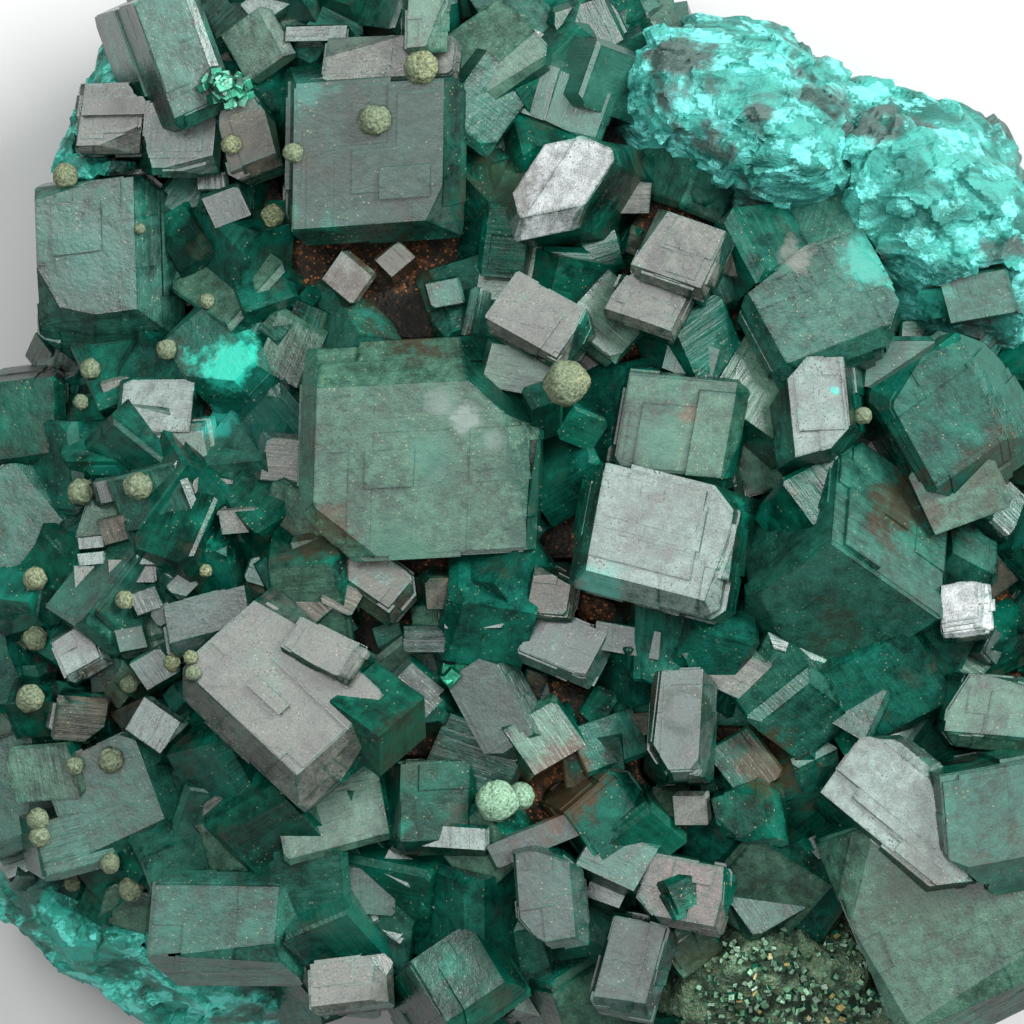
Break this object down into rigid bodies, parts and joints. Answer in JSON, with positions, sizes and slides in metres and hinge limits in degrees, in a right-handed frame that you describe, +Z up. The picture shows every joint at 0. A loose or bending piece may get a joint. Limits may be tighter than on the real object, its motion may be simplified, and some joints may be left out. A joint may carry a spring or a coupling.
{
  "type": "dioptase specimen",
  "caption": "Natural dioptase specimen: blocky emerald-green crystals with grey-green faces, broken turquoise masses and pale balls on iron-stained rock",
  "frame": {"origin": "in the middle of the rock's flat underside, which the specimen lies on", "axes": "+Z up out of the crystals, +Y to the rear edge with the broken turquoise ridge, +X to the side with the trigonal crystal"},
  "size_m": [0.0953, 0.091, 0.0406],
  "materials": {
    "dioptase": "vitreous crystal, dark emerald green, smooth growth faces with fine steps and pits",
    "turquoise_mass": "broken turquoise-green massive mineral, hackly, satin",
    "moss_crust": "granular green-brown crust, dull",
    "botryoid": "pale yellow-green radiating balls, pitted, dull",
    "matrix_rock": "iron-stained brown rock, rough"
  },
  "bodies": {
    "root": {"ball_left_yellow": "botryoid", "ball_mint_pitted": "botryoid", "ball_olive_large": "botryoid", "ball_rear_large": "botryoid", "ball_rear_small": "botryoid", "crystal_beige": "dioptase", "crystal_beside_square": "dioptase", "crystal_bright_square": "dioptase", "crystal_brown_twin": "dioptase", "crystal_central_giant": "dioptase", "crystal_dark_front": "dioptase", "crystal_dark_left_front": "dioptase", "crystal_dark_prism": "dioptase", "crystal_deep_green": "dioptase", "crystal_front_grey": "dioptase", "crystal_front_left_striated": "dioptase", "crystal_front_pentagon": "dioptase", "crystal_front_speckled": "dioptase", "crystal_grey_blue": "dioptase", "crystal_left_brown": "dioptase", "crystal_left_front": "dioptase", "crystal_left_green": "dioptase", "crystal_left_grey_slab": "dioptase", "crystal_left_on_green": "dioptase", "crystal_left_pale": "dioptase", "crystal_left_round": "dioptase", "crystal_left_stepped": "dioptase", "crystal_left_striated": "dioptase", "crystal_left_turquoise": "dioptase", "crystal_lower_left_giant": "dioptase", "crystal_lower_left_slab": "dioptase", "crystal_lower_right_bright": "dioptase", "crystal_lower_right_giant": "dioptase", "crystal_notched": "dioptase", "crystal_rear_bright": "dioptase", "crystal_rear_grey_green": "dioptase", "crystal_rear_left_block": "dioptase", "crystal_rear_left_roof": "dioptase", "crystal_rear_rectangle": "dioptase", "crystal_right_bright": "dioptase", "crystal_right_dark": "dioptase", "crystal_right_front": "dioptase", "crystal_right_square": "dioptase", "crystal_rosy": "dioptase", "crystal_side_hidden": "dioptase", "crystal_smooth_overgrowth": "dioptase", "crystal_speckled": "dioptase", "crystal_square_pair_front": "dioptase", "crystal_square_pair_rear": "dioptase", "crystal_stepped": "dioptase", "crystal_trigonal": "dioptase", "crystal_turquoise": "dioptase", "crystal_under_square": "dioptase", "crystal_vivid_green": "dioptase", "matrix_rock": "matrix_rock", "moss_crust": "moss_crust", "ridge_rear": "turquoise_mass", "ridge_right": "turquoise_mass", "rim_front_left": "turquoise_mass", "rim_left": "turquoise_mass"}
  },
  "joints": []
}
